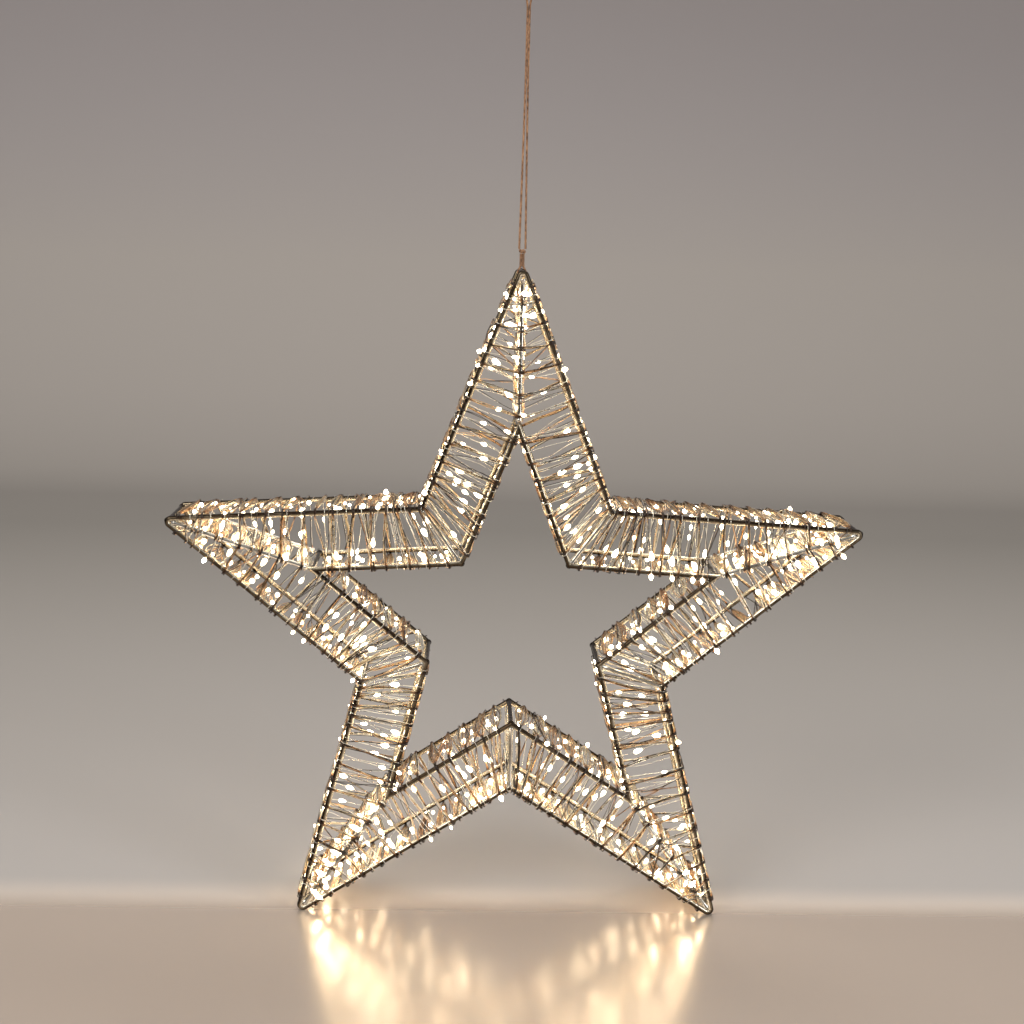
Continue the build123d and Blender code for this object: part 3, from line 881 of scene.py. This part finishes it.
stage = {
    "floorZ": -0.7935,
    # a painted warm glow on the floor under the star
    "paintedGlowColor": (0.80, 0.68, 0.575),
    "paintedDepthShades": [  # painted light and shade, from the star back to the wall, as shares of the way: darker partway back, brighter by the wall
        (0.0, (0.395, 0.365, 0.345)),
        (0.3, (0.305, 0.280, 0.257)),
        (0.5, (0.25, 0.23, 0.208)),
        (0.6, (0.27, 0.247, 0.225)),
        (0.68, (0.37, 0.338, 0.31)),
        (0.8, (0.46, 0.42, 0.388)),
        (0.92, (0.53, 0.485, 0.45)),
        (1.0, (0.51, 0.47, 0.475)),
    ],
    "fadeFrom": -0.045,
    "fadeTo": 0.035,
    "frontY": -3.0,
    "wallY": 3.4,
    "wallHeight": 4.0,
    "halfWidth": 4.0,
    "sweep": 1.3,  # radius of the curve between floor and wall
    "sweepSteps": 24,
    "roughness": (0.22, 0.9),
    "gloss": 1.0,
    "polish": 0.6,
}


def makeStage():
    # Floor and wall in one sheet: flat, then a quarter circle, then upright. Under the star the glossy floor carries
    # a painted warm glow, which fades by smoothstep of y into matt greys; these paint light and shade by y / wallY,
    # after the depth stops.
    turn = np.linspace(0, math.pi / 2, stage["sweepSteps"])
    curveY = stage["wallY"] - stage["sweep"] + stage["sweep"] * np.sin(turn)
    y = np.concatenate([[stage["frontY"]], curveY, [stage["wallY"]]])
    z = np.concatenate([[0], stage["sweep"] * (1 - np.cos(turn)), [stage["wallHeight"]]]) + stage["floorZ"]
    x = np.array([-stage["halfWidth"], stage["halfWidth"]])
    points = np.stack([np.repeat(x[:, None], len(y), 1), np.tile(y, (2, 1)), np.tile(z, (2, 1))], axis=-1)
    row = np.arange(len(y) - 1)
    quads = np.stack([row, row + len(y), row + 1 + len(y), row + 1], axis=-1).ravel()
    material, nodes, links, shader = newMaterial("paleFloor")
    place = nodes.new("ShaderNodeTexCoord")
    split = nodes.new("ShaderNodeSeparateXYZ")
    links.new(place.outputs["Object"], split.inputs["Vector"])
    glowAndGlossFade = nodes.new("ShaderNodeMapRange")
    glowAndGlossFade.interpolation_type = "SMOOTHSTEP"
    glowAndGlossFade.inputs["From Min"].default_value = stage["fadeFrom"]
    glowAndGlossFade.inputs["From Max"].default_value = stage["fadeTo"]
    links.new(split.outputs["Y"], glowAndGlossFade.inputs["Value"])
    depth = nodes.new("ShaderNodeMapRange")
    depth.inputs["From Max"].default_value = stage["wallY"]
    links.new(split.outputs["Y"], depth.inputs["Value"])
    blend = nodes.new("ShaderNodeMix")
    blend.data_type = "RGBA"
    factor, front, back = blend.inputs[0], blend.inputs[6], blend.inputs[7]
    front.default_value = (*stage["paintedGlowColor"], 1.0)
    links.new(glowAndGlossFade.outputs["Result"], factor)
    links.new(ramp(nodes, links, depth.outputs["Result"], stage["paintedDepthShades"]), back)
    links.new(blend.outputs[2], shader.inputs["Base Color"])
    low, high = stage["roughness"]
    links.new(ramp(nodes, links, glowAndGlossFade.outputs["Result"], [(0.0, low), (1.0, high)]), shader.inputs["Roughness"])
    shader.inputs["Specular IOR Level"].default_value = stage["gloss"]
    polish = ramp(nodes, links, glowAndGlossFade.outputs["Result"], [(0.0, stage["polish"]), (1.0, 0.0)])
    links.new(polish, shader.inputs["Metallic"])
    obj = addPiece("floor", points.reshape(-1, 3), quads, np.full(len(row), 4), material)


makeStage()


starMiddle = (0, 0, -star["hangHeight"])
lamps = {  # sizes in metres, power in watts
    "keyLamp": {
        "place": (-1.3, -1.5, 0.8), "target": starMiddle,
        "size": (1.1, 0.8), "power": 26, "color": (1.0, 0.97, 0.93),
    },
    "fillLamp": {
        "place": (1.5, -1.2, 0.0), "target": starMiddle,
        "size": (0.5, 1.3), "power": 14, "color": (0.95, 0.97, 1.0),
    },
    "backLamp": {
        "place": (0.3, 1.0, 1.3), "target": (0, 0.4, -0.6),
        "size": (1.4, 0.5), "power": 14, "color": (1.0, 0.96, 0.9),
    },
}


def makeLamp(name, lamp):
    # A rectangular lamp that looks at its target.
    data = bpy.data.lights.new(name, "AREA")
    data.shape = "RECTANGLE"
    data.size, data.size_y = lamp["size"]
    data.energy = lamp["power"]
    data.color = lamp["color"]
    obj = bpy.data.objects.new(name, data)
    obj.location = lamp["place"]
    look = Vector(lamp["target"]) - Vector(lamp["place"])
    obj.rotation_euler = look.to_track_quat("-Z", "Y").to_euler()
    bpy.context.scene.collection.objects.link(obj)


for name, lamp in lamps.items():
    makeLamp(name, lamp)

room = {  # light from straight down, at 0, to straight up, at 1
    "stops": [
        (0.4, (0.12, 0.11, 0.10)), (0.56, (0.2, 0.19, 0.18)), (0.72, (0.75, 0.73, 0.7)), (1.0, (1.0, 0.98, 0.95)),
    ],
    "strength": 0.75,
}


def makeWorld():
    # Soft room light by (1 + z) / 2 of the direction: bright overhead, dim at the sides and below.
    world = bpy.data.worlds.new("room")
    bpy.context.scene.world = world
    world.use_nodes = True
    nodes, links = world.node_tree.nodes, world.node_tree.links
    place = nodes.new("ShaderNodeTexCoord")
    split = nodes.new("ShaderNodeSeparateXYZ")
    links.new(place.outputs["Generated"], split.inputs["Vector"])
    half = nodes.new("ShaderNodeMath")
    half.operation = "MULTIPLY_ADD"  # from -1..1 to 0..1
    half.inputs[1].default_value = 0.5
    half.inputs[2].default_value = 0.5
    links.new(split.outputs["Z"], half.inputs[0])
    links.new(ramp(nodes, links, half.outputs["Value"], room["stops"]), nodes["Background"].inputs["Color"])
    nodes["Background"].inputs["Strength"].default_value = room["strength"]


makeWorld()
bpy.context.scene.view_settings.view_transform = "Standard"
print("stage lit")
